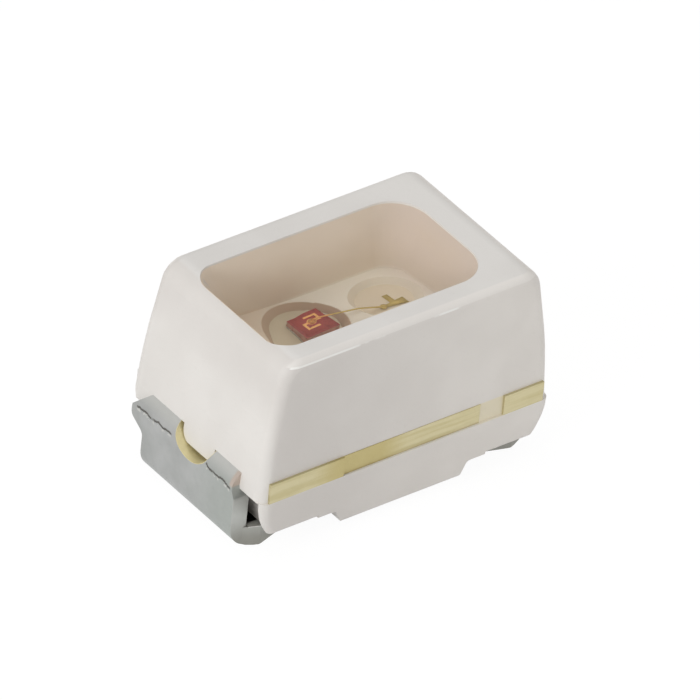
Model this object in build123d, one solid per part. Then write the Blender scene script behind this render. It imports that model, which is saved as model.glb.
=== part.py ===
from build123d import *
import os
from math import radians, tan

os.makedirs("parts", exist_ok=True)

# Sizes are in millimetres and degrees. The origin is under the middle of the package, on the
# plane of its two solder faces. +X runs along the package from the lead that carries the chip
# to the lead that takes the wire, and +Z is the way the light leaves.

# Package
package_length = 2.30        # over the outer faces of the two terminals
package_width = 1.35         # over the lower half of the moulding
package_height = 1.40        # from the solder faces to the rim

# Lead frame strip
strip = 0.14                 # thickness
strip_top = 0.565            # upper face where it leaves the moulding
bend_radius = 0.02           # inside radius of the bends
wing_setback = 0.12          # outer end of the strip on the long sides, behind a terminal's face
wing_length = 0.30           # the wire lead's two wings, along the long sides
proud_length = 0.555         # stretch of the chip lead that stands proud of the upper half
edge_gap = 0.175             # plastic between the two leads on the long sides
lead_gap = 0.08              # plastic between the two leads inside
well_border = 0.06           # strip beyond the foot of each well

# Terminals
leg_width = 0.915            # leg and solder face
middle_y = -0.028            # middle of the leads and the cavity, from the middle of the package
bend_inset = 0.225           # -Y edge of the strip where it is bent, from the package's side
bend_front_z = 0.44          # where the leg's -Y edge reaches its full width
bend_front_taper = 0.06      # height of that change
ear_inset = 0.125            # +Y edge of the strip where it is bent, from the package's side
ear_z = 0.36                 # where the ear draws in to the leg
ear_taper = 0.07             # height of that change
ear_radius = 0.05
pad_length = 0.46            # solder face from the outer face inwards
pad_tip_inset = 0.05         # how much each side of the tip is cut back
pad_tip_taper = 0.18         # length of that cut
notch_width = 0.31           # slot through the upper bend
notch_z = 0.415              # its lower end, on the leg
notch_radius = 0.09
notch_depth = 0.22           # from the terminal's face to its inner end, in the moulding

# Moulding
terminal_stand = 0.062       # outer face of a terminal from the end of the moulding
end_crown_z = 0.83           # where the upper end faces turn from one slope to the other
end_draft = 3.8              # their slope below that
end_draft_top = 10.3         # and above it
end_crown_radius = 2.0       # of the soft turn between the two slopes
side_draft = 1.9             # slope of the upper long faces
parting_ledge = 0.013        # how far the lower half stands proud of the upper
end_rim_radius = 0.15        # top edge at each end
edge_radius = 0.07           # top edge along the sides, and the upright corners
underside_z = 0.165          # underside beside the pads
lower_end_z = 0.29           # where the lower ends turn in more steeply
lower_end_step = 0.02        # how far they have turned in there
end_undercut = 0.09          # how far they have turned in at the underside
lower_side_draft = 2.0       # slope of the lower long faces
lower_corner_radius = 0.055  # upright corners of the lower half
underside_radius = 0.03      # edge round the underside
foot_z = 0.055               # underside of the foot
foot_gap = 0.195             # between its root and the tip of a solder face, along the package
foot_slope = 0.05            # how far each end of the foot slopes in
foot_radius = 0.045          # outer corners of the foot
foot_root_radius = 0.035
recess_gap = 0.045           # room beside a leg on the -Y side
leg_clearance = 0.01         # behind a leg and beside its ear

# Cavity and wells
chip_end_wall = 0.245        # from the chip lead's terminal face to the opening
wire_end_wall = 0.45         # and from the wire lead's
side_wall = 0.22             # from the package's side to the opening, mean of both sides
cavity_draft = 10.5
cavity_floor_z = 0.65
cavity_corner_chip_end = 0.15
cavity_corner_wire_end = 0.24
floor_corner_chip_end = 0.08
floor_corner_wire_end = 0.15
resin_z = 1.388              # level of the resin at the long walls, just under the rim
resin_dish = 0.045           # how much lower it lies along its middle
well_web = 0.082             # cavity floor between the two wells
well_middle = -0.02          # middle between their centres
chip_well_radius = 0.255     # at the strip
wire_well_radius = 0.19
well_flare = 0.05            # how much wider a well is at the cavity floor

# Chip
chip_width = 0.24
chip_height = 0.115
chip_offset = 0.06           # from the centre of its well, towards the wire's end
chip_turn = 3                # how far the chip was set askew, degrees
mesa_inset = 0.010           # sawn step round the top of the chip
mesa_height = 0.025
glue_thickness = 0.012       # under the chip
glue_width = 0.275
glue_radius = 0.05
contact_thickness = 0.005
contact_radius = 0.036       # round pad in the middle of the chip
contact_arm = 0.018          # width of the arms that spread the current
contact_reach = 0.075        # half length of the arms
contact_hook = 0.10          # length of the hook at the end of each arm

# Bond wire
wire_diameter = 0.028
ball_radius = 0.033
ball_height = 0.024
loop_height = 0.06           # top of the wire's loop over the chip
loop_radius = 0.03
knee_from_bond = 0.185       # where the wire turns down to its second bond
knee_height = 0.135          # over the strip
knee_radius = 0.15
bond_x = -0.058              # end of the round wire, from the centre of its well
bond_y = -0.08
stitch_thickness = 0.012
stitch_length = 0.17         # flattened wire beyond there
stitch_width = 0.075
tail_length = 0.12           # second mark of the bonding tool, beside the stitch
tail_width = 0.045
stud_radius = 0.030          # ball pressed over the end of the wire
stud_height = 0.022

# Worked out from the values above
strip_bottom = strip_top - strip
moulding_length = package_length - 2 * terminal_stand
upper_width = package_width - 2 * parting_ledge
upper_height = package_height - strip_bottom
crown_length = moulding_length - 2 * (end_crown_z - strip_bottom) * tan(radians(end_draft))
top_length = crown_length - 2 * (package_height - end_crown_z) * tan(radians(end_draft_top))
top_width = upper_width - 2 * upper_height * tan(radians(side_draft))
underside_width = package_width - 2 * (strip_bottom - underside_z) * tan(radians(lower_side_draft))
wing_reach = package_length / 2 - wing_setback
wing_inner = wing_reach - wing_length
arm_reach = wing_inner - edge_gap
proud_end = wing_reach - proud_length
bend_front = package_width / 2 - bend_inset
ear_reach = package_width / 2 - ear_inset
leg_front = middle_y - leg_width / 2
leg_rear = middle_y + leg_width / 2
foot_length = package_length - 2 * (pad_length + foot_gap)
cavity_width = package_width - 2 * side_wall
well_pitch = chip_well_radius + wire_well_radius + 2 * well_flare + well_web
chip_well_x = well_middle - well_pitch / 2
wire_well_x = well_middle + well_pitch / 2
bend_start = package_length / 2 - strip - bend_radius
plate_end = chip_well_x + chip_well_radius + well_border
tongue_width = 2 * (wire_well_radius + well_border)
slot_width = tongue_width + 2 * lead_gap
chip_x = chip_well_x + chip_offset
chip_bottom = strip_top + glue_thickness
chip_top = chip_bottom + chip_height
over = 0.1                   # how far a cutting shape runs past what it cuts


def outline(*corners, radius=0.0):
    """Closed flat face through the corners, each one rounded by its own radius or left sharp."""
    if radius:
        return make_face(FilletPolyline(*corners, radius=radius, close=True))
    return make_face(Polyline(*corners, close=True))


def both_sides(half):
    """Corners of a shape that is the same either side of its upright axis."""
    return half + [(-across, along) for across, along in reversed(half)]


def across_package(face):
    """Solid from a side view, an x-z outline."""
    return extrude(Plane.XZ * face, amount=package_width, both=True)


def along_package(face):
    """Solid from an end view, a y-z outline."""
    return extrude(Plane.YZ * face, amount=package_length, both=True)


def upwards(face, bottom, top):
    """Solid from a plan view, an x-y outline."""
    return extrude(Pos(0, 0, bottom) * face, amount=top - bottom)


def strip_layer(plan):
    """Part of the flat strip with this outline."""
    return upwards(plan, strip_bottom, strip_top)


def terminal():
    """Formed terminal on the +X end: upper bend, leg, lower bend and solder face."""
    outer = package_length / 2
    inner = outer - strip
    root = bend_start - strip
    tip = outer - pad_length
    outside = bend_radius + strip
    formed = across_package(
        outline(
            (root, strip_top),
            (outer, strip_top),
            (outer, 0),
            (tip, 0),
            (tip, strip),
            (inner, strip),
            (inner, strip_bottom),
            (root, strip_bottom),
            radius=[0, outside, outside, 0, 0, bend_radius, bend_radius, 0],
        )
    )
    front = outline(
        (-bend_front, strip_top + over),
        (-bend_front, bend_front_z),
        (leg_front, bend_front_z - bend_front_taper),
        (leg_front, -over),
        (leg_rear, -over),
        (leg_rear, ear_z - ear_taper),
        (ear_reach, ear_z),
        (ear_reach, strip_top + over),
        radius=[0, ear_radius, ear_radius, 0, 0, ear_radius, ear_radius, 0],
    )
    tip_cut = outline(
        (tip, leg_width / 2 - pad_tip_inset),
        (tip + pad_tip_taper, leg_width / 2),
        (tip + pad_tip_taper, package_width),
        (tip, package_width),
    )
    tip_cut = upwards(tip_cut, -over, strip + over)
    tip_cuts = Pos(0, middle_y) * (tip_cut + mirror(tip_cut, about=Plane.XZ))
    return (formed & along_package(front)) - tip_cuts


def notch():
    """Cutter for the slot through the upper bend on the +X end."""
    top = strip_top + over
    half = notch_width / 2
    face = outline(
        (middle_y - half, notch_z),
        (middle_y + half, notch_z),
        (middle_y + half, top),
        (middle_y - half, top),
        radius=[notch_radius, notch_radius, 0, 0],
    )
    inner = package_length / 2 - notch_depth
    return extrude(Plane.YZ.offset(inner) * face, amount=notch_depth + over)


def wing_corners(side, reach):
    """Corners of a lead in plan on the +X end, from its bend to one long side."""
    return [
        (bend_start, side * reach),
        (wing_reach, side * reach),
        (wing_reach, side * package_width / 2),
    ]


def bend_end():
    """The same corners right round the +X end, from the -Y side to the +Y side."""
    return list(reversed(wing_corners(-1, bend_front))) + wing_corners(1, ear_reach)


def chip_lead():
    """Lead on the -X end: plate under the chip, and an arm along each long side."""
    outer = [
        (arm_reach, upper_width / 2),
        (-proud_end, upper_width / 2),
        (-proud_end, package_width / 2),
    ]
    slot_rear = middle_y + slot_width / 2
    slot_front = middle_y - slot_width / 2
    slot = [(arm_reach, slot_front), (plate_end, slot_front), (plate_end, slot_rear), (arm_reach, slot_rear)]
    front = [(x, -y) for x, y in reversed(outer)]
    plan = outline(*slot, *outer, *[(-x, y) for x, y in reversed(bend_end())], *front)
    return strip_layer(plan) + mirror(terminal(), about=Plane.YZ) - mirror(notch(), about=Plane.YZ)


def wire_lead():
    """Lead on the +X end: round-ended tongue under the wire's second bond, and two wings."""
    rear = middle_y + tongue_width / 2
    front = middle_y - tongue_width / 2
    inner = [
        (wing_inner, package_width / 2),
        (wing_inner, rear),
        (wire_well_x, rear),
        (wire_well_x, front),
        (wing_inner, front),
        (wing_inner, -package_width / 2),
    ]
    plan = outline(*bend_end(), *inner)
    plan += Pos(wire_well_x, middle_y) * Circle(tongue_width / 2)
    return strip_layer(plan) + terminal() - notch()


def upper_moulding():
    """Upper half: block with crowned ends, well rounded over its ends and softly elsewhere."""
    side = outline(
        *both_sides(
            [
                (moulding_length / 2, strip_bottom),
                (crown_length / 2, end_crown_z),
                (top_length / 2, package_height),
            ]
        ),
        radius=[0, end_crown_radius, end_rim_radius, end_rim_radius, end_crown_radius, 0],
    )
    front = outline(
        (-upper_width / 2, strip_bottom),
        (upper_width / 2, strip_bottom),
        (top_width / 2, package_height),
        (-top_width / 2, package_height),
    )
    block = across_package(side) & along_package(front)
    long_faces = block.faces().sort_by(Axis.Y)
    edges = long_faces[0].edges() + long_faces[-1].edges()
    return fillet(edges.filter_by(lambda edge: edge.center().Z > strip_bottom + over), edge_radius)


def plan_section(z, length, width):
    """Outline of the lower half at one height."""
    return Pos(0, 0, z) * RectangleRounded(length, width, lower_corner_radius)


def lower_block():
    """Lower half without its foot: ends that turn in under the strip, drafted long sides."""
    middle_width = package_width - 2 * (strip_bottom - lower_end_z) * tan(radians(lower_side_draft))
    block = loft(
        [
            plan_section(underside_z, moulding_length - 2 * end_undercut, underside_width),
            plan_section(lower_end_z, moulding_length - 2 * lower_end_step, middle_width),
            plan_section(strip_bottom, moulding_length, package_width),
        ]
    )
    return fillet(block.faces().sort_by(Axis.Z)[0].edges(), underside_radius)


def foot():
    """Block across the middle of the underside, rounded where it meets the rest."""
    root = foot_length / 2
    toe = root - foot_slope
    top = underside_z + over / 2
    flare = root + foot_root_radius
    side = outline(
        *both_sides([(toe, foot_z), (root, underside_z), (flare + over, underside_z), (flare + over, top)]),
        radius=[foot_radius, foot_root_radius, 0, 0, 0, 0, foot_root_radius, foot_radius],
    )
    drop = (underside_z - foot_z) * tan(radians(lower_side_draft))
    rise = (top - underside_z) * tan(radians(lower_side_draft))
    front = outline(
        *both_sides([(underside_width / 2 - drop, foot_z), (underside_width / 2 + rise, top)]),
        radius=[underside_radius, 0, 0, underside_radius],
    )
    return across_package(side) & along_package(front)


def leg_recess():
    """Room in the +X end of the moulding for the leg and the lower bend."""
    inner = package_length / 2 - strip - leg_clearance
    rear = ear_reach + leg_clearance
    front = leg_front - recess_gap
    depth = terminal_stand + strip
    middle = Pos(inner + depth / 2, (rear + front) / 2, strip_bottom / 2)
    return middle * Box(depth, rear - front, strip_bottom)


def window(left, right, half_width, left_radius, right_radius, z):
    """Flat opening with one radius at its chip end and another at its wire end."""
    corners = [(left, -half_width), (right, -half_width), (right, half_width), (left, half_width)]
    radius = [left_radius, right_radius, right_radius, left_radius]
    return Pos(0, middle_y, z) * outline(*corners, radius=radius)


def well(x, radius):
    """Round flared well from the cavity floor down to the strip."""
    depth = cavity_floor_z - strip_top
    cone = Cone(radius, radius + well_flare, depth)
    return Pos(x, middle_y, strip_top + depth / 2) * cone


def cavity():
    """The tapered cavity and its two wells."""
    step = (package_height - cavity_floor_z) * tan(radians(cavity_draft))
    left = chip_end_wall - package_length / 2
    right = package_length / 2 - wire_end_wall
    half_width = cavity_width / 2
    opening = window(
        left, right, half_width, cavity_corner_chip_end, cavity_corner_wire_end, package_height
    )
    floor = window(
        left + step,
        right - step,
        half_width - step,
        floor_corner_chip_end,
        floor_corner_wire_end,
        cavity_floor_z,
    )
    space = loft([floor, opening], ruled=True)
    return space + well(chip_well_x, chip_well_radius) + well(wire_well_x, wire_well_radius)


def housing(leads):
    """White moulding round both leads."""
    recess = leg_recess()
    body = upper_moulding() + lower_block() + foot()
    body -= recess + mirror(recess, about=Plane.YZ)
    body -= cavity()
    for lead in leads:
        body -= lead
    return body


def at_chip(plan):
    """Outline set where the chip stands, and as askew as it is."""
    return Pos(chip_x, middle_y) * Rot(0, 0, chip_turn) * plan


def glue():
    """Flat bed of conductive glue between the chip and its lead."""
    bed = RectangleRounded(glue_width, glue_width, glue_radius)
    return upwards(at_chip(bed), strip_top, chip_bottom)


def led_chip():
    """Sawn block with a narrower step at its top."""
    mesa_width = chip_width - 2 * mesa_inset
    block = Rectangle(chip_width, chip_width)
    mesa = Rectangle(mesa_width, mesa_width)
    body = upwards(at_chip(block), chip_bottom, chip_top - mesa_height)
    return body + upwards(at_chip(mesa), chip_top - mesa_height, chip_top)


def chip_contact():
    """Gold on top of the chip: a round pad and two bent arms, turned half a turn apart."""
    line = contact_reach - contact_arm / 2
    arm = Pos(contact_reach / 2, 0) * Rectangle(contact_reach, contact_arm)
    arm += Pos(line, contact_reach / 2) * Rectangle(contact_arm, contact_reach)
    arm += Pos(contact_reach - contact_hook / 2, line) * Rectangle(contact_hook, contact_arm)
    plan = Circle(contact_radius) + arm + Rot(0, 0, 180) * arm
    return upwards(at_chip(plan), chip_top, chip_top + contact_thickness)


def ball(x, y, z, radius, height):
    """Bond ball pressed flat below and above."""
    between = Box(2 * radius, 2 * radius, height)
    return Pos(x, y, z + height / 2) * (Sphere(radius) & between)


def bond_wire():
    """Ball on the chip, low loop, and a flattened end with a stud pressed over it."""
    start_z = chip_top + contact_thickness
    end_x = wire_well_x + bond_x
    end_y = middle_y + bond_y
    start = (chip_x, middle_y, start_z + ball_height / 2)
    rise = (chip_x, middle_y, start_z + loop_height)
    along = (end_x - knee_from_bond - chip_x) / (end_x - chip_x)
    knee = (end_x - knee_from_bond, middle_y + bond_y * along, strip_top + knee_height)
    finish = (end_x, end_y, strip_top + wire_diameter / 2)
    path = FilletPolyline(start, rise, knee, finish, radius=[loop_radius, knee_radius])
    profile = Plane(origin=start, z_dir=(0, 0, 1)) * Circle(wire_diameter / 2)
    wire = sweep(profile, path=path)
    fan = outline(
        (0, wire_diameter / 2),
        (0, -wire_diameter / 2),
        (stitch_length, -stitch_width / 2),
        (stitch_length, stitch_width / 2),
    )
    tail = Pos(stitch_length / 2, tail_length / 2) * Rectangle(tail_width, tail_length)
    flattened = upwards(Pos(end_x, end_y) * (fan + tail), strip_top, strip_top + stitch_thickness)
    stud = ball(end_x, end_y, strip_top, stud_radius, stud_height + wire_diameter / 2)
    return ball(chip_x, middle_y, start_z, ball_radius, ball_height) + wire + flattened + stud


def encapsulant(inside):
    """Clear resin with a dished top that fills the cavity and the wells round what is in them."""
    depth = resin_z - strip_top
    fill = cavity() & Pos(0, 0, strip_top + depth / 2) * Box(package_length, package_width, depth)
    half_width = cavity_width / 2 - (package_height - resin_z) * tan(radians(cavity_draft))
    dish_radius = (half_width**2 + resin_dish**2) / (2 * resin_dish)
    dish = Rot(0, 90, 0) * Cylinder(dish_radius, package_length)
    fill -= Pos(0, middle_y, resin_z - resin_dish + dish_radius) * dish
    for piece in inside:
        fill -= piece
    return fill


chip_side_lead = chip_lead()
wire_side_lead = wire_lead()
glue_bed = glue()
chip = led_chip()
contact = chip_contact()
wire = bond_wire()
pieces = {
    "housing": housing([chip_side_lead, wire_side_lead]),
    "cathode_lead": chip_side_lead,
    "anode_lead": wire_side_lead,
    "die_attach": glue_bed,
    "led_chip": chip,
    "chip_contact": contact,
    "bond_wire": wire,
    "encapsulant": encapsulant([glue_bed, chip, contact, wire]),
}
for name, piece in pieces.items():
    export_step(piece, f"parts/{name}.step")
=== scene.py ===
import math

import bmesh
import bpy
from mathutils import Matrix, Vector
from mathutils.kdtree import KDTree


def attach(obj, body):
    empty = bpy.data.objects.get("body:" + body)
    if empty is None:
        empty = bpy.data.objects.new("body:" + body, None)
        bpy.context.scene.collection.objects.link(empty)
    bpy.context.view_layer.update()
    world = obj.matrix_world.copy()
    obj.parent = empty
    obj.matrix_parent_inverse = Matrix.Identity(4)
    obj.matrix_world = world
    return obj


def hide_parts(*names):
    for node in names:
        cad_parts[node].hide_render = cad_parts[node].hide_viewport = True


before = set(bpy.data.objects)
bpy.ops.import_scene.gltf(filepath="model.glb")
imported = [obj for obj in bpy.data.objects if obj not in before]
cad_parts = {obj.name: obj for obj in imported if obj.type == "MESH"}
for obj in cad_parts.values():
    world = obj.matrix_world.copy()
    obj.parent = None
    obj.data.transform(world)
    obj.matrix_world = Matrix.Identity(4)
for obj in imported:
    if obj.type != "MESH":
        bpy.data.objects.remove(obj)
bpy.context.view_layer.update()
mm = 0.001


def node(tree, kind, values=None, **settings):
    made = tree.nodes.new("ShaderNode" + kind)
    for name, value in settings.items():
        setattr(made, name, value)
    for name, value in (values or {}).items():
        if isinstance(value, bpy.types.NodeSocket):
            tree.links.new(value, made.inputs[name])
        else:
            made.inputs[name].default_value = value
    return made


def calc(tree, operation, first, second=0.0):
    return node(tree, "Math", {0: first, 1: second}, operation=operation).outputs[0]


def ramp(tree, value, start, end, low=0.0, high=1.0):  # smooth change from low to high
    sockets = {"Value": value, "From Min": start, "From Max": end, "To Min": low, "To Max": high}
    return node(tree, "MapRange", sockets, interpolation_type="SMOOTHSTEP").outputs["Result"]


def between(tree, value, low, high, soft):  # 1 inside low..high, 0 outside
    up = ramp(tree, value, low - soft, low)
    down = ramp(tree, value, high, high + soft, 1.0, 0.0)
    return calc(tree, "MULTIPLY", up, down)


def excess(tree, value, limit):  # how far value lies past limit, or 0
    return calc(tree, "MAXIMUM", calc(tree, "SUBTRACT", value, limit), 0.0)


def distance(tree, first, second):
    squares = [calc(tree, "POWER", offset, 2.0) for offset in (first, second)]
    return calc(tree, "SQRT", calc(tree, "ADD", *squares))


def product(tree, *masks):
    result = masks[0]
    for mask in masks[1:]:
        result = calc(tree, "MULTIPLY", result, mask)
    return result


def blendColour(tree, share, first, second):
    made = node(tree, "Mix", data_type="RGBA")
    for socket, value in zip((made.inputs[0], made.inputs[6], made.inputs[7]), (share, first, second)):
        if isinstance(value, bpy.types.NodeSocket):
            tree.links.new(value, socket)
        else:
            socket.default_value = value
    return made.outputs[2]


def srgb(red, green, blue):  # from 0..255 as read on a screen
    def linear(value):
        share = value / 255
        return share / 12.92 if share <= 0.04045 else ((share + 0.055) / 1.055) ** 2.4

    return (linear(red), linear(green), linear(blue), 1.0)


def millimetres(tree):  # place on the part, in millimetres
    place = node(tree, "TexCoord").outputs["Object"]
    return node(tree, "VectorMath", {0: place, "Scale": 1000.0}, operation="SCALE").outputs[0]


def noise(tree, place, scale, detail=3.0, roughness=0.5, stretch=None):
    if stretch:
        place = node(tree, "VectorMath", {0: place, 1: stretch}, operation="MULTIPLY").outputs[0]
    sockets = {"Vector": place, "Scale": scale, "Detail": detail, "Roughness": roughness}
    return node(tree, "TexNoise", sockets).outputs["Fac"]


def bump(tree, height, depth, strength=1.0, normal=None):
    sockets = {"Height": height, "Distance": depth * mm, "Strength": strength}
    if normal:
        sockets["Normal"] = normal
    return node(tree, "Bump", sockets).outputs["Normal"]


def blank(name):
    made = bpy.data.materials.new(name)
    made.use_nodes = True
    made.node_tree.nodes.clear()
    return made, made.node_tree


def surface(tree, **values):
    sockets = {name.replace("_", " "): value for name, value in values.items()}
    shader = node(tree, "BsdfPrincipled", sockets)
    node(tree, "OutputMaterial", {"Surface": shader.outputs[0]})


# White moulding: filled plastic, a little waxy, warmer inside the cavity
mouldingLook = {
    "white": srgb(232, 229, 225),  # on the end faces
    "chipSideShade": srgb(223, 219, 215),  # long faces and rim by the chip's end, darker: painted shade
    "wireSideLight": srgb(239, 235, 230),  # and by the wire's end, lighter: painted light
    "flash": srgb(240, 231, 204),  # thin plastic between the two strips
    "rim": srgb(236, 235, 233),  # flat top round the window, lighter and cooler: painted light
    # long top edges lighter: painted light
    "edge": srgb(250, 247, 243),  # long top edges
    "edgeHighlight": srgb(255, 255, 252),  # painted highlight: thin bright line along their lower side
    "smudge": srgb(196, 190, 184),
    "speck": srgb(190, 184, 176),
    "under": srgb(96, 90, 84),  # behind and under the legs
    "cavityHigh": srgb(237, 226, 212),
    "cavityLow": srgb(236, 226, 210),
    "cavityFloor": srgb(246, 241, 228),
    "floorChipEnd": srgb(234, 219, 199),
    # painted shade on the walls of the chip's well
    "chipWellShade": srgb(215, 195, 170),
    "cavityWireEnd": srgb(220, 207, 197),
    "cavityStain": srgb(222, 208, 188),
    "roughness": 0.42,
    "grain": 0.0012,  # depth of the fine skin, mm
    "sag": 0.006,  # depth of the slow unevenness, mm
    "ior": 1.5,
    "specular": 0.45,
    "window": {  # cavity, mm
        "middle": (-0.1025, -0.028),
        "halfRim": (0.8025, 0.455),
        "heights": (0.65, 1.4),  # floor and rim
        "corners": (0.08, 0.15),  # radius at the floor and at the rim
        "slope": 0.1853,  # of its walls
    },
}


def mouldingMaterial(look):
    made, tree = blank("moulding")
    place = millimetres(tree)
    x, y, z = node(tree, "SeparateXYZ", {0: place}).outputs
    cloud = noise(tree, place, 2.2, 2.0)
    speck = noise(tree, place, 34.0, 4.0, 0.6)
    # painted light and shade: the long faces darker by the chip's end and lighter by the wire's end
    body = blendColour(tree, ramp(tree, x, -0.9, 0.9), look["chipSideShade"], look["wireSideLight"])
    body = blendColour(tree, ramp(tree, x, -1.06, -0.98), look["white"], body)
    # painted light: the flat top lighter and cooler
    body = blendColour(tree, ramp(tree, z, 1.385, 1.397, 0.0, 0.6), body, look["rim"])
    gap = product(tree, between(tree, x, 0.55, 0.735, 0.01), between(tree, z, 0.43, 0.56, 0.01))
    body = blendColour(tree, gap, body, look["flash"])
    body = blendColour(tree, ramp(tree, cloud, 0.35, 0.65, 0.0, 0.12), body, look["smudge"])
    # long top edges painted a little brighter (painted light) down to a thin painted highlight along
    # their lower side, broken in places
    outer = calc(tree, "ABSOLUTE", y)
    edge = product(tree, ramp(tree, outer, 0.575, 0.6), between(tree, z, 1.357, 1.39, 0.006))
    body = blendColour(tree, calc(tree, "MULTIPLY", edge, 0.5), body, look["edge"])
    highlightGaps = ramp(tree, noise(tree, place, 3.1, 3.0, 0.6, (1.0, 0.2, 0.2)), 0.46, 0.54)
    shine = product(
        tree,
        between(tree, z, 1.350, 1.356, 0.005),
        ramp(tree, outer, 0.6, 0.61),
        between(tree, x, -0.97, 0.3, 0.05),
        highlightGaps,
    )
    body = blendColour(tree, calc(tree, "MULTIPLY", shine, 0.9), body, look["edgeHighlight"])
    body = blendColour(tree, ramp(tree, speck, 0.58, 0.75, 0.0, 0.06), body, look["speck"])
    # the cavity: a rounded window that narrows with the draft of its walls
    window = look["window"]
    inset = calc(tree, "MULTIPLY", calc(tree, "SUBTRACT", window["heights"][1], z), window["slope"])
    corner = ramp(tree, z, *window["heights"], *window["corners"])
    beyond = []
    for value, middle, halfRim in zip((x, y), window["middle"], window["halfRim"]):
        fromMiddle = calc(tree, "ABSOLUTE", calc(tree, "SUBTRACT", value, middle))
        straight = calc(tree, "SUBTRACT", calc(tree, "SUBTRACT", halfRim, inset), corner)
        beyond.append(excess(tree, fromMiddle, straight))
    outward = calc(tree, "SUBTRACT", distance(tree, *beyond), corner)
    inside = product(
        tree,
        ramp(tree, outward, 0.001, 0.003, 1.0, 0.0),
        between(tree, z, 0.5, 1.386, 0.002),
    )
    wall = blendColour(tree, ramp(tree, z, 0.62, 1.35), look["cavityLow"], look["cavityHigh"])
    floor = blendColour(tree, ramp(tree, x, -0.65, -0.1), look["floorChipEnd"], look["cavityFloor"])
    wall = blendColour(tree, ramp(tree, z, 0.648, 0.70, 1.0, 0.0), wall, floor)
    # walls of the chip's well, darker: painted shade
    wellWallShade = product(tree, ramp(tree, z, 0.640, 0.649, 1.0, 0.0), ramp(tree, x, -0.02, 0.02, 1.0, 0.0))
    wall = blendColour(tree, wellWallShade, wall, look["chipWellShade"])
    wall = blendColour(tree, ramp(tree, x, 0.35, 0.68, 0.0, 0.9), wall, look["cavityWireEnd"])
    wall = blendColour(tree, ramp(tree, cloud, 0.4, 0.7, 0.0, 0.25), wall, look["cavityStain"])
    # little light reaches the moulding behind the legs
    under = product(
        tree,
        between(tree, calc(tree, "ABSOLUTE", x), 0.6, 0.957, 0.002),
        between(tree, y, -0.60, 0.56, 0.02),
        ramp(tree, z, 0.17, 0.30, 1.0, 0.0),
    )
    body = blendColour(tree, calc(tree, "MULTIPLY", under, 0.8), body, look["under"])
    colour = blendColour(tree, inside, body, wall)
    rough = calc(tree, "ADD", look["roughness"], calc(tree, "MULTIPLY", speck, 0.16))
    slow = bump(tree, noise(tree, place, 1.6, 1.0), look["sag"])
    fine = bump(tree, speck, look["grain"], 0.8, slow)
    surface(
        tree,
        Base_Color=colour,
        Roughness=rough,
        Normal=fine,
        IOR=look["ior"],
        Specular_IOR_Level=look["specular"],
    )
    return made


notchArc = (-0.022, 0.562, 0.178)  # worn lower end of the notch in each bend: middle y, z and radius

# Formed strip: dull grey plating, bare alloy where it was sheared, silvered under the resin
leadLook = {
    "plating": srgb(189, 190, 189),
    "platingDark": srgb(172, 174, 172),
    "platingShade": srgb(174, 179, 174),  # towards -Y
    # painted highlight along the top of each bend
    "bendHighlight": srgb(207, 208, 205),
    "legSide": srgb(198, 200, 196),
    "legFoot": srgb(151, 150, 143),
    "alloy": srgb(214, 205, 168),
    "alloyDark": srgb(204, 194, 152),
    # painted light: the notch's wall lighter than the other sheared alloy
    "alloyNotchLit": srgb(236, 227, 184),
    "alloyDull": srgb(198, 185, 134),  # beside the chip
    "baredEdge": srgb(206, 190, 178),  # where the bend's edge has lost its plating
    "silver": srgb(214, 204, 178),  # round the chip
    "silverWire": srgb(230, 219, 198),  # round the wire's end
    "crack": srgb(110, 108, 103),
    "crackLip": srgb(206, 206, 202),
    "padTop": srgb(46, 42, 36),  # top of the solder end, unlit behind the leg
    "padLip": srgb(236, 236, 230),  # and its edge in the light
    "roughness": 0.46,
    "shearFrom": 0.655,  # sheared faces on the long sides lie outside this, mm
    "legFront": -0.4855,  # sides of the leg
    "legRear": 0.4295,
    "notchMiddle": -0.028,
    "notchHalf": 0.155,
    "notchZ": 0.415,
    "notchRadius": 0.09,
    "creaseZ": 0.447,
    "creaseWander": 0.014,
    "mouldingEnd": 1.0885,  # distance from the middle, where the ear was cut
    "earSlope": 0.982,  # y + z along the ear's cut corner
}


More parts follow.
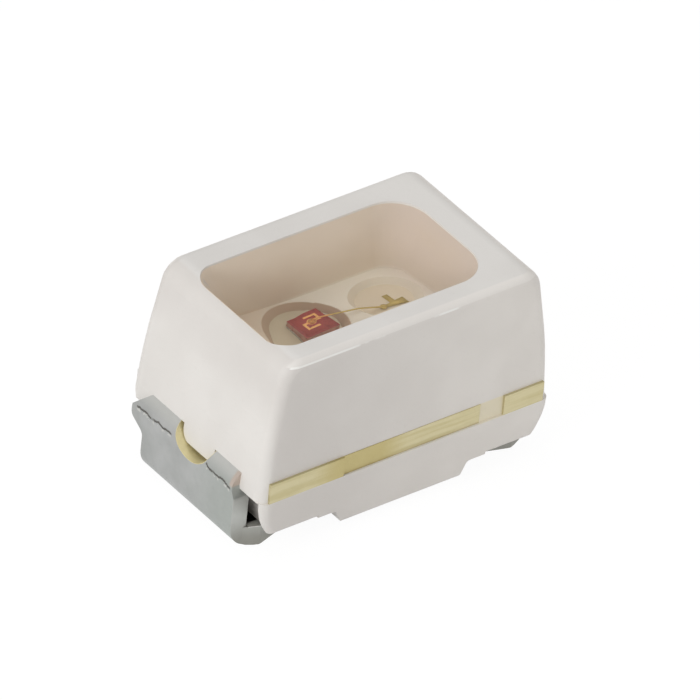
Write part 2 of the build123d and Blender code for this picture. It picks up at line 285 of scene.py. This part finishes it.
def leadMaterial(look):
    made, tree = blank("leadFrame")
    place = millimetres(tree)
    x, y, z = node(tree, "SeparateXYZ", {0: place}).outputs
    side = calc(tree, "ABSOLUTE", y)
    end = calc(tree, "ABSOLUTE", x)
    cloud = noise(tree, place, 3.0, 3.0)
    grain = noise(tree, place, 26.0, 4.0, 0.6)
    drawn = noise(tree, place, 12.0, 3.0, 0.6, (0.15, 0.15, 2.4))
    plating = blendColour(tree, ramp(tree, cloud, 0.35, 0.7), look["plating"], look["platingDark"])
    plating = blendColour(tree, ramp(tree, grain, 0.55, 0.8, 0.0, 0.25), plating, look["platingDark"])
    plating = blendColour(tree, ramp(tree, y, -0.48, 0.1, 0.8, 0.0), plating, look["platingShade"])
    # painted highlight: the top of each bend lighter
    bendHighlightMask = product(tree, ramp(tree, z, 0.45, 0.53), ramp(tree, end, 1.0, 1.02))
    plating = blendColour(tree, bendHighlightMask, plating, look["bendHighlight"])
    # sheared sides of the leg, dark towards the board
    front = product(
        tree,
        ramp(tree, y, look["legFront"] + 0.001, look["legFront"] + 0.004, 1.0, 0.0),
        ramp(tree, z, 0.40, 0.44, 1.0, 0.0),
    )
    rear = product(
        tree,
        ramp(tree, y, look["legRear"] - 0.004, look["legRear"] - 0.001),
        ramp(tree, z, 0.27, 0.29, 1.0, 0.0),
    )
    legSide = product(tree, calc(tree, "MAXIMUM", front, rear), ramp(tree, side, 0.6, 0.62, 1.0, 0.0))
    sideTone = blendColour(tree, ramp(tree, z, 0.02, 0.26), look["legFoot"], look["legSide"])
    plating = blendColour(tree, legSide, plating, sideTone)
    bared = product(
        tree,
        between(tree, y, -0.5, -0.43, 0.02),
        between(tree, z, 0.46, 0.53, 0.02),
        ramp(tree, end, 1.05, 1.07),
    )
    plating = blendColour(tree, calc(tree, "MULTIPLY", bared, 0.85), plating, look["baredEdge"])
    alloy = blendColour(tree, ramp(tree, drawn, 0.4, 0.65), look["alloy"], look["alloyDark"])
    alloy = blendColour(tree, between(tree, x, -0.5, -0.2, 0.25), alloy, look["alloyDull"])
    # wall of the notch: a slot with rounded lower corners, and the worn arc
    fromNotch = calc(tree, "ABSOLUTE", calc(tree, "SUBTRACT", y, look["notchMiddle"]))
    straight = look["notchHalf"] - look["notchRadius"]
    across = excess(tree, fromNotch, straight)
    below = excess(tree, look["notchZ"] + look["notchRadius"], z)
    fromSlot = calc(tree, "SUBTRACT", distance(tree, across, below), look["notchRadius"])
    arcY, arcZ, arcRadius = notchArc
    aside = calc(tree, "ABSOLUTE", calc(tree, "SUBTRACT", y, arcY))
    fromArc = calc(tree, "SUBTRACT", distance(tree, aside, excess(tree, arcZ, z)), arcRadius)
    nearest = calc(tree, "MINIMUM", fromSlot, fromArc)
    notchWall = product(tree, ramp(tree, nearest, 0.001, 0.003, 1.0, 0.0), ramp(tree, end, 0.92, 0.93))
    longSides = ramp(tree, side, look["shearFrom"], look["shearFrom"] + 0.003)
    sheared = calc(tree, "MAXIMUM", notchWall, longSides)
    underResin = product(
        tree,
        ramp(tree, end, 0.9, 0.92, 1.0, 0.0),
        ramp(tree, side, 0.5, 0.52, 1.0, 0.0),
        ramp(tree, z, 0.48, 0.52),
    )
    silver = blendColour(tree, ramp(tree, x, -0.05, 0.1), look["silver"], look["silverWire"])
    # plating cracked along the outside of the upper bend, in a broken line with a bright lip
    ragged = noise(tree, place, 6.0, 4.0, 0.6, (1.0, 1.0, 0.2))
    wander = look["creaseWander"]
    line = calc(tree, "ADD", look["creaseZ"], ramp(tree, ragged, 0.3, 0.7, -wander, wander))
    above = calc(tree, "SUBTRACT", z, line)
    gaps = ramp(tree, noise(tree, place, 7.0, 3.0, 0.6), 0.38, 0.46)
    lengths = [between(tree, y, start, stop, 0.015) for start, stop in ((0.17, 0.50), (-0.43, -0.19))]
    lengths = calc(tree, "MAXIMUM", *lengths)
    broken = calc(tree, "MULTIPLY", gaps, lengths)
    outerFace = product(tree, ramp(tree, end, 1.09, 1.11), calc(tree, "SUBTRACT", 1.0, sheared))
    crack = product(tree, between(tree, above, -0.0025, 0.0025, 0.006), broken, outerFace)
    chips = ramp(tree, noise(tree, place, 38.0, 2.0, 0.5), 0.5, 0.6)
    lip = product(tree, between(tree, above, -0.022, -0.010, 0.004), broken, outerFace, chips)
    colour = blendColour(tree, underResin, plating, silver)
    # the notch's wall gets the lighter alloy: painted light
    alloy = blendColour(tree, notchWall, alloy, look["alloyNotchLit"])
    colour = blendColour(tree, sheared, colour, alloy)
    colour = blendColour(tree, lip, colour, look["crackLip"])
    colour = blendColour(tree, crack, colour, look["crack"])
    # moulding over the strip beside the ear, see carving
    covered = product(
        tree,
        ramp(tree, end, look["mouldingEnd"], look["mouldingEnd"] + 0.001, 1.0, 0.0),
        ramp(tree, end, 1.0, 1.02),
        ramp(tree, y, 0.40, 0.41),
        ramp(tree, calc(tree, "ADD", y, z), look["earSlope"], look["earSlope"] + 0.002),
    )
    colour = blendColour(tree, covered, colour, mouldingLook["white"])
    pad = product(
        tree,
        ramp(tree, end, 1.02, 1.03, 1.0, 0.0),
        between(tree, z, 0.137, 0.143, 0.001),
    )
    padTop = blendColour(tree, ramp(tree, y, -0.475, -0.455), look["padLip"], look["padTop"])
    colour = blendColour(tree, pad, colour, padTop)
    rough = calc(tree, "ADD", look["roughness"], calc(tree, "MULTIPLY", grain, 0.18))
    slow = bump(tree, cloud, 0.006)
    fine = bump(tree, grain, 0.0022, 0.8, slow)
    split = bump(tree, calc(tree, "SUBTRACT", 1.0, crack), 0.006, 1.0, fine)
    metal = ramp(tree, underResin, 0.0, 1.0, 0.85, 0.35)
    metal = calc(tree, "MULTIPLY", metal, calc(tree, "SUBTRACT", 1.0, covered))
    surface(tree, Base_Color=colour, Metallic=metal, Roughness=rough, Normal=split)
    return made


chipLook = {
    "top": srgb(185, 76, 67),
    "flank": srgb(196, 144, 126),
    "dark": srgb(110, 38, 38),
    "step": (0.655, 0.668),  # z where the flanks end, mm
    "roughness": 0.35,
}


def chipMaterial(look):
    made, tree = blank("chip")
    place = millimetres(tree)
    x, y, z = node(tree, "SeparateXYZ", {0: place}).outputs
    sawn = noise(tree, place, 30.0, 4.0, 0.6, (1.0, 1.0, 0.2))
    tone = blendColour(tree, ramp(tree, z, *look["step"]), look["flank"], look["top"])
    tone = blendColour(tree, ramp(tree, sawn, 0.45, 0.75, 0.0, 0.35), tone, look["dark"])
    surface(
        tree,
        Base_Color=tone,
        Roughness=calc(tree, "ADD", look["roughness"], calc(tree, "MULTIPLY", sawn, 0.25)),
        Normal=bump(tree, sawn, 0.002),
    )
    return made


goldLook = {
    "colour": srgb(214, 194, 118),
    "onChip": srgb(244, 184, 112),
    "dark": srgb(172, 148, 84),
    "chipEdge": (-0.2, -0.1),  # x where the tone over the chip gives way to the other, mm
    "metallic": 0.5,
    "roughness": 0.32,
}


def goldMaterial(look):
    made, tree = blank("gold")
    place = millimetres(tree)
    grain = noise(tree, place, 60.0, 3.0, 0.6)
    x, y, z = node(tree, "SeparateXYZ", {0: place}).outputs
    tone = blendColour(tree, ramp(tree, x, *look["chipEdge"]), look["onChip"], look["colour"])
    tone = blendColour(tree, ramp(tree, grain, 0.45, 0.7, 0.0, 0.25), tone, look["dark"])
    surface(
        tree,
        Base_Color=tone,
        Metallic=look["metallic"],
        Roughness=calc(tree, "ADD", look["roughness"], calc(tree, "MULTIPLY", grain, 0.2)),
        Normal=bump(tree, grain, 0.0006),
    )
    return made


glueLook = {
    "colour": srgb(176, 166, 150),
    "flake": srgb(214, 208, 196),
    "metallic": 0.25,
    "roughness": 0.5,
}


def glueMaterial(look):
    made, tree = blank("glue")
    place = millimetres(tree)
    flake = noise(tree, place, 90.0, 2.0, 0.5)
    tone = blendColour(tree, ramp(tree, flake, 0.5, 0.62), look["colour"], look["flake"])
    surface(
        tree,
        Base_Color=tone,
        Metallic=look["metallic"],
        Roughness=look["roughness"],
        Normal=bump(tree, flake, 0.002),
    )
    return made


# Clear resin: bends what is seen through it, and lets light in to the cavity
resinLook = {"tint": (1.0, 0.99, 0.975, 1.0), "ior": 1.5, "roughness": 0.02}


def resinMaterial(look):
    made, tree = blank("resin")
    place = millimetres(tree)
    ripple = bump(tree, noise(tree, place, 1.4, 1.0), 0.002)
    glass = node(
        tree,
        "BsdfGlass",
        {"Color": look["tint"], "Roughness": look["roughness"], "IOR": look["ior"], "Normal": ripple},
    )
    clear = node(tree, "BsdfTransparent", {"Color": look["tint"]})
    path = node(tree, "LightPath")
    letThrough = calc(tree, "MAXIMUM", path.outputs["Is Shadow Ray"], path.outputs["Is Diffuse Ray"])
    mixed = node(tree, "MixShader", {0: letThrough, 1: glass.outputs[0], 2: clear.outputs[0]})
    node(tree, "OutputMaterial", {"Surface": mixed.outputs[0]})
    return made


def dress(name, material):
    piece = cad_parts[name]
    piece.data.materials.clear()
    piece.data.materials.append(material)


moulding = mouldingMaterial(mouldingLook)
leadFrame = leadMaterial(leadLook)
gold = goldMaterial(goldLook)
dress("housing", moulding)
dress("cathode_lead", leadFrame)
dress("anode_lead", leadFrame)
chipSurface = chipMaterial(chipLook)
dress("led_chip", chipSurface)
dress("chip_contact", gold)
dress("bond_wire", gold)
dress("die_attach", glueMaterial(glueLook))
print("CAD nodes dressed")


# What wear, trimming and the bending have done to the ends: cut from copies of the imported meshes
carving = {
    "recess": ((1.20, 0.955), (-0.64, 0.72), (-0.05, 0.4245)),  # room round a leg: x, y and z
    "thinning": ((1.035, 0.90), (-0.7, 0.7), (0.1402, 0.40)),  # strip pressed thinner below its bend
    "earOutline": ((0.42, 0.64), (0.42, 0.565), (0.58, 0.405), (0.72, 0.405), (0.72, 0.64)),  # y, z
    "farCorner": (  # upright corner beside the ear: z, then how far along each face it is cut
        (0.40, 0.128, 0.100),
        (0.62, 0.030, 0.015),
    ),
    "cornerStart": (1.10, 0.70),  # x and y just outside the faces that meet there
    "sideY": 0.675,
    "notchTop": 0.7,
    "notchInner": 0.985,
    "arcSteps": 24,
    "outside": 1.2,  # cutters end clear of the part
    "endX": 1.088,  # end face of the moulding at the strip's underside
    "endSlope": 0.0664,
    "stripUnderside": 0.425,
    "footSections": (  # distance from the middle, outer edge from the leg's middle, lowest z
        (1.060, 0.4570, 0.0165),
        (1.035, 0.4670, 0.0065),
        (0.990, 0.4840, 0.0002),
        (0.954, 0.4975, 0.0),
        (0.935, 0.4950, 0.0),
        (0.768, 0.4450, 0.0),
    ),
    "footTop": 0.1395,
    "footInner": 0.43,
    "legMiddle": -0.028,
}


def skin(build, sections):  # walls through loops of as many points each, closed at the first
    loops = [[build.verts.new(point) for point in loop] for loop in sections]
    count = len(loops[0])
    for lower, upper in zip(loops, loops[1:]):
        for index in range(count):
            after = (index + 1) % count
            build.faces.new((lower[index], lower[after], upper[after], upper[index]))
    build.faces.new(list(reversed(loops[0])))
    return loops[-1]


def finished(build, name):
    bmesh.ops.recalc_face_normals(build, faces=build.faces)
    mesh = bpy.data.meshes.new(name)
    build.to_mesh(mesh)
    build.free()
    made = bpy.data.objects.new(name, mesh)
    bpy.context.collection.objects.link(made)
    return made


def prismObject(name, sections):
    build = bmesh.new()
    build.faces.new(skin(build, sections))
    return finished(build, name)


def blockCutter(spec, name, end):
    (outer, inner), (front, rear), (low, high) = spec[name]
    corners = ((front, low), (rear, low), (rear, high), (front, high))
    return prismObject(name, [[(end * x, y, z) for y, z in corners] for x in (outer, inner)])


def earCutter(spec, end):
    def endFace(z):
        return spec["endX"] - spec["endSlope"] * (z - spec["stripUnderside"])

    inner = [(end * endFace(z), y, z) for y, z in spec["earOutline"]]
    outer = [(end * spec["outside"], y, z) for y, z in spec["earOutline"]]
    return prismObject("earCutter", [inner, outer])


def cornerCutter(spec, end):
    startX, startY = spec["cornerStart"]
    loops = []
    for z, along, across in spec["farCorner"]:
        along += startX - spec["endX"]
        across += startY - spec["sideY"]
        corners = ((startX, startY), (startX - along, startY), (startX, startY - across))
        loops.append([(end * x, y, z) for x, y in corners])
    return prismObject("cornerCutter", loops)


def notchCutter(spec, end):
    middleY, middleZ, radius = notchArc
    turns = [math.radians(180 + 180 / spec["arcSteps"] * step) for step in range(spec["arcSteps"] + 1)]
    arc = [(middleY + radius * math.cos(a), middleZ + radius * math.sin(a)) for a in turns]
    outline = [(arc[0][0], spec["notchTop"]), *arc, (arc[-1][0], spec["notchTop"])]
    ends = (spec["notchInner"], spec["outside"])
    return prismObject("notchCutter", [[(end * x, y, z) for y, z in outline] for x in ends])


def footFlare(spec, end, side):
    top = spec["footTop"]
    loops = []
    for x, reach, low in spec["footSections"]:
        near, far = (spec["legMiddle"] + side * spread for spread in (spec["footInner"], reach))
        corners = ((far, low), (far, top), (near, top), (near, low))
        loops.append([(end * x, y, z) for y, z in corners])
    return prismObject("footFlare", loops)


meshing = {  # mm
    "weld": 0.0001,
    "sameCorner": 0.0005,
    "sameFacing": 0.97,  # cosine
}


def addBoolean(piece, tool, operation):
    step = piece.modifiers.new(tool.name, "BOOLEAN")
    step.operation = operation
    step.solver = "EXACT"
    step.object = tool


def baked(piece):  # mesh with its modifiers applied
    graph = bpy.context.evaluated_depsgraph_get()
    mesh = bpy.data.meshes.new_from_object(piece.evaluated_get(graph))
    piece.modifiers.clear()
    piece.data = mesh
    return mesh


def weld(mesh):
    build = bmesh.new()
    build.from_mesh(mesh)
    bmesh.ops.remove_doubles(build, verts=build.verts, dist=meshing["weld"])
    build.to_mesh(mesh)
    build.free()


def keepSmoothing(mesh, packed):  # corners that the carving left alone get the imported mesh's normals
    tree = KDTree(len(packed.loops))
    facing = {}
    for face in packed.polygons:
        for corner in face.loop_indices:
            tree.insert(packed.vertices[packed.loops[corner].vertex_index].co, corner)
            facing[corner] = face.normal
    tree.balance()
    normals = [None] * len(mesh.loops)
    for face in mesh.polygons:
        for corner in face.loop_indices:
            place = mesh.vertices[mesh.loops[corner].vertex_index].co
            near = [index for _, index, _ in tree.find_range(place, meshing["sameCorner"])]
            best = max(near, key=lambda index: facing[index].dot(face.normal), default=None)
            if best is not None and facing[best].dot(face.normal) > meshing["sameFacing"]:
                normals[corner] = Vector(packed.corner_normals[best].vector)
            else:
                normals[corner] = Vector(face.normal)
    mesh.normals_split_custom_set(normals)


def carve(name, material, cutters, additions=()):
    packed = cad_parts[name].data.copy()
    packed.transform(Matrix.Scale(1 / mm, 4))
    mesh = packed.copy()
    weld(mesh)
    piece = bpy.data.objects.new(name + "Carved", mesh)
    bpy.context.collection.objects.link(piece)
    for tool in cutters:
        addBoolean(piece, tool, "DIFFERENCE")
    for tool in additions:
        addBoolean(piece, tool, "UNION")
    mesh = baked(piece)
    for tool in (*cutters, *additions):
        bpy.data.objects.remove(tool)
    mesh.shade_smooth()
    keepSmoothing(mesh, packed)
    mesh.transform(Matrix.Scale(mm, 4))
    mesh.materials.clear()
    mesh.materials.append(material)
    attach(piece, "root")
    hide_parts(name)


endCuts = [blockCutter(carving, "recess", end) for end in (-1, 1)]
endCuts += [cornerCutter(carving, end) for end in (-1, 1)]
carve("housing", moulding, endCuts)
for leadName, leadEnd in (("cathode_lead", -1), ("anode_lead", 1)):
    flares = [footFlare(carving, leadEnd, side) for side in (-1, 1)]
    cuts = [
        earCutter(carving, leadEnd),
        notchCutter(carving, leadEnd),
        blockCutter(carving, "thinning", leadEnd),
    ]
    carve(leadName, leadFrame, cuts, flares)
print("ends carved")


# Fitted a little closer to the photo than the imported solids: chip and wire
fitting = {
    "chipGrowth": 1.08,
    "chipMiddle": (-0.2735, -0.028),
    "wireShrink": 0.006,  # mm, off its radius
    "smoothAngle": 50,
}


def refit(name, material, change):
    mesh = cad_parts[name].data.copy()
    mesh.transform(Matrix.Scale(1 / mm, 4))
    weld(mesh)
    change(mesh)
    mesh.transform(Matrix.Scale(mm, 4))
    mesh.shade_smooth()
    mesh.set_sharp_from_angle(angle=math.radians(fitting["smoothAngle"]))
    mesh.materials.clear()
    mesh.materials.append(material)
    piece = bpy.data.objects.new(name + "Fitted", mesh)
    bpy.context.collection.objects.link(piece)
    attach(piece, "root")
    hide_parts(name)


def growChip(mesh):
    middleX, middleY = fitting["chipMiddle"]
    for vertex in mesh.vertices:
        vertex.co.x = middleX + (vertex.co.x - middleX) * fitting["chipGrowth"]
        vertex.co.y = middleY + (vertex.co.y - middleY) * fitting["chipGrowth"]


def slimWire(mesh):
    moved = [vertex.co - vertex.normal * fitting["wireShrink"] for vertex in mesh.vertices]
    for vertex, place in zip(mesh.vertices, moved):
        vertex.co = place


refit("led_chip", chipSurface, growChip)
refit("bond_wire", gold, slimWire)
print("chip and wire fitted")


# Resin body without the hollows round the chip and wire, so that light passes each wall once.
# It reaches a hair into the moulding, which is then what shows behind it.
resinBody = {
    "top": 1.388,  # at the walls
    "dish": 0.045,  # how far its middle hangs below that
    "floor": 0.65,
    "strip": 0.565,
    "rim": 1.40,
    "chipEnd": -0.905,
    "wireEnd": 0.70,
    "halfWidth": 0.455,
    "middleY": -0.028,
    "draft": 10.5,
    "rimCorners": (0.15, 0.24),  # chip end, wire end
    "floorCorners": (0.08, 0.15),
    "cornerSteps": 12,
    "wells": ((-0.3335, 0.255), (0.2935, 0.19)),  # middle along the package, radius at the strip
    "flare": 0.05,  # of the wells, from the strip up to the floor
    "wellSteps": 48,
    "plugRise": 0.02,  # well plugs close this far up inside the body
    "bite": 0.002,  # reach into the moulding
    "smoothAngle": 25,
    "topRings": (0.985, 0.96, 0.92, 0.87, 0.8, 0.7, 0.6, 0.5, 0.4, 0.3, 0.2, 0.1),
}


def windowLoop(spec, z, grow=0.0):
    share = (z - spec["floor"]) / (spec["rim"] - spec["floor"])
    inset = (spec["rim"] - z) * math.tan(math.radians(spec["draft"])) - grow
    left = spec["chipEnd"] + inset
    right = spec["wireEnd"] - inset
    half = spec["halfWidth"] - inset
    radii = [low + share * (high - low) for low, high in zip(spec["floorCorners"], spec["rimCorners"])]
    corners = (
        (right, half, radii[1], 0),
        (left, half, radii[0], 90),
        (left, -half, radii[0], 180),
        (right, -half, radii[1], 270),
    )
    points = []
    for cornerX, cornerY, radius, start in corners:
        middleX = cornerX - math.copysign(radius, cornerX - (left + right) / 2)
        middleY = cornerY - math.copysign(radius, cornerY)
        for step in range(spec["cornerSteps"] + 1):
            angle = math.radians(start + 90 * step / spec["cornerSteps"])
            away = middleY + spec["middleY"] + radius * math.sin(angle)
            points.append((middleX + radius * math.cos(angle), away, z))
    return points


def skinHeight(spec, x, y):  # the resin climbs its walls and sinks between them
    halfLength = (spec["wireEnd"] - spec["chipEnd"]) / 2
    along = (x - (spec["wireEnd"] + spec["chipEnd"]) / 2) / halfLength
    across = (y - spec["middleY"]) / spec["halfWidth"]
    sink = max(0, 1 - across**2) * max(0, 1 - along**4)
    return spec["top"] - spec["dish"] * sink


def resinShell(spec):
    build = bmesh.new()
    centreX = (spec["chipEnd"] + spec["wireEnd"]) / 2
    centreY = spec["middleY"]
    top = windowLoop(spec, spec["top"], spec["bite"])
    rings = [windowLoop(spec, spec["floor"] - spec["bite"], spec["bite"])]
    for inset in (1.0, *spec["topRings"]):
        flat = [(centreX + (x - centreX) * inset, centreY + (y - centreY) * inset) for x, y, z in top]
        rings.append([(x, y, skinHeight(spec, x, y)) for x, y in flat])
    last = skin(build, rings)
    centre = build.verts.new((centreX, centreY, skinHeight(spec, centreX, centreY)))
    for index, corner in enumerate(last):
        build.faces.new((corner, last[(index + 1) % len(last)], centre))
    return finished(build, "resinFill")


def wellPlug(spec, middleX, radius):
    low = spec["strip"] - spec["bite"]
    high = spec["floor"] + spec["plugRise"]
    slope = spec["flare"] / (spec["floor"] - spec["strip"])
    turns = [math.radians(360 / spec["wellSteps"] * step) for step in range(spec["wellSteps"])]
    rings = []
    for z in (low, spec["floor"], high):
        reach = radius + slope * (min(z, spec["floor"]) - spec["strip"]) + spec["bite"]
        if z == high:
            reach = radius  # closes inside the body above
        flat = [(middleX + reach * math.cos(a), spec["middleY"] + reach * math.sin(a)) for a in turns]
        rings.append([(x, y, z) for x, y in flat])
    return prismObject("plug", rings)


def makeResin(spec):
    piece = resinShell(spec)
    plugs = [wellPlug(spec, middleX, radius) for middleX, radius in spec["wells"]]
    for plug in plugs:
        addBoolean(piece, plug, "UNION")
    joined = baked(piece)
    for plug in plugs:
        bpy.data.objects.remove(plug)
    for vertex in joined.vertices:
        vertex.co *= mm
    joined.materials.clear()
    joined.materials.append(resinMaterial(resinLook))
    joined.shade_smooth()
    joined.set_sharp_from_angle(angle=math.radians(spec["smoothAngle"]))
    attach(piece, "root")
    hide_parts("encapsulant")


makeResin(resinBody)
print("resin made")


studio = {
    "floorReach": 60.0,  # mm
    "floorWhite": 0.86,
    "floorGlow": 1.05,  # as the camera sees it
    "floorGlowShare": 0.9,  # the rest keeps the shadow
    "world": (1.0, 0.985, 0.965, 1.0),
    "worldStrength": 0.56,
    "aim": (0, 0, 0.7),  # mm
    "lamps": {  # place in mm, size in mm, power
        "keyLamp": ((-14.0, -3.0, 8.0), 9.0, 0.00085),
        "topLamp": ((-2.0, 5.0, 17.0), 8.0, 0.00030),
        "sideLamp": ((12.0, -12.0, 8.0), 7.0, 0.00018),
    },
}


def makeFloor(spec):
    reach = spec["floorReach"] * mm
    mesh = bpy.data.meshes.new("floor")
    corners = [(-reach, -reach, 0), (reach, -reach, 0), (reach, reach, 0), (-reach, reach, 0)]
    mesh.from_pydata(corners, [], [(0, 1, 2, 3)])
    floor = bpy.data.objects.new("floor", mesh)
    bpy.context.collection.objects.link(floor)
    made, tree = blank("floor")
    white = spec["floorWhite"]
    matte = node(tree, "BsdfDiffuse", {"Color": (white, white, white, 1.0)})
    seen = node(tree, "Emission", {"Color": (1.0, 1.0, 1.0, 1.0), "Strength": spec["floorGlow"]})
    path = node(tree, "LightPath")
    direct = calc(tree, "MAXIMUM", path.outputs["Is Camera Ray"], path.outputs["Is Transmission Ray"])
    direct = calc(tree, "MAXIMUM", direct, path.outputs["Is Glossy Ray"])
    share = calc(tree, "MULTIPLY", direct, spec["floorGlowShare"])
    mixed = node(tree, "MixShader", {0: share, 1: matte.outputs[0], 2: seen.outputs[0]})
    node(tree, "OutputMaterial", {"Surface": mixed.outputs[0]})
    mesh.materials.append(made)


def makeWorld(spec):
    world = bpy.data.worlds.new("studio")
    bpy.context.scene.world = world
    world.use_nodes = True
    tree = world.node_tree
    tree.nodes.clear()
    path = node(tree, "LightPath")
    soft = node(tree, "Background", {"Color": spec["world"], "Strength": spec["worldStrength"]})
    white = node(tree, "Background", {"Color": (1.0, 1.0, 1.0, 1.0), "Strength": 1.0})
    seen = calc(tree, "MAXIMUM", path.outputs["Is Camera Ray"], path.outputs["Is Transmission Ray"])
    mixed = node(tree, "MixShader", {0: seen, 1: soft.outputs[0], 2: white.outputs[0]})
    node(tree, "OutputWorld", {"Surface": mixed.outputs[0]})


def makeLamp(name, place, size, power, target):
    lamp = bpy.data.lights.new(name, "AREA")
    lamp.shape = "DISK"
    lamp.size = size * mm
    lamp.energy = power
    holder = bpy.data.objects.new(name, lamp)
    bpy.context.collection.objects.link(holder)
    holder.location = Vector(place) * mm
    aim = Vector(target) * mm - holder.location
    holder.rotation_mode = "QUATERNION"
    holder.rotation_quaternion = aim.to_track_quat("-Z", "Y")
    holder.visible_camera = False


makeFloor(studio)
makeWorld(studio)
for lampName, (lampPlace, lampSize, lampPower) in studio["lamps"].items():
    makeLamp(lampName, lampPlace, lampSize, lampPower, studio["aim"])
print("studio lit")


photoView = {
    "azimuth": -40.46,
    "elevation": 36.34,
    "roll": 6.12,
    "distance": 100.0,  # mm
    "pixelsPerMm": 165.54,
    "slide": (0.1003, 0.6044),  # camera moved right and up, mm
    "imageWidth": 700,
    "sensor": 36.0,
    "clip": (0.005, 1.0),  # m
}


def makeCamera(spec):
    data = bpy.data.cameras.new("camera")
    data.sensor_width = spec["sensor"]
    data.lens = spec["pixelsPerMm"] * spec["distance"] / spec["imageWidth"] * spec["sensor"]
    data.clip_start, data.clip_end = spec["clip"]
    camera = bpy.data.objects.new("camera", data)
    bpy.context.collection.objects.link(camera)
    bpy.context.scene.camera = camera
    azimuth, elevation, roll = (math.radians(spec[name]) for name in ("azimuth", "elevation", "roll"))
    back = Vector(
        (
            math.sin(azimuth) * math.cos(elevation),
            -math.cos(azimuth) * math.cos(elevation),
            math.sin(elevation),
        )
    )
    level = Vector((math.cos(azimuth), math.sin(azimuth), 0))
    upright = back.cross(level)
    right = math.cos(roll) * level + math.sin(roll) * upright
    up = -math.sin(roll) * level + math.cos(roll) * upright
    slideRight, slideUp = spec["slide"]
    camera.location = (back * spec["distance"] + right * slideRight + up * slideUp) * mm
    camera.rotation_mode = "QUATERNION"
    camera.rotation_quaternion = Matrix((right, up, back)).transposed().to_quaternion()


makeCamera(photoView)
bpy.context.scene.view_settings.view_transform = "Standard"
print("camera placed")
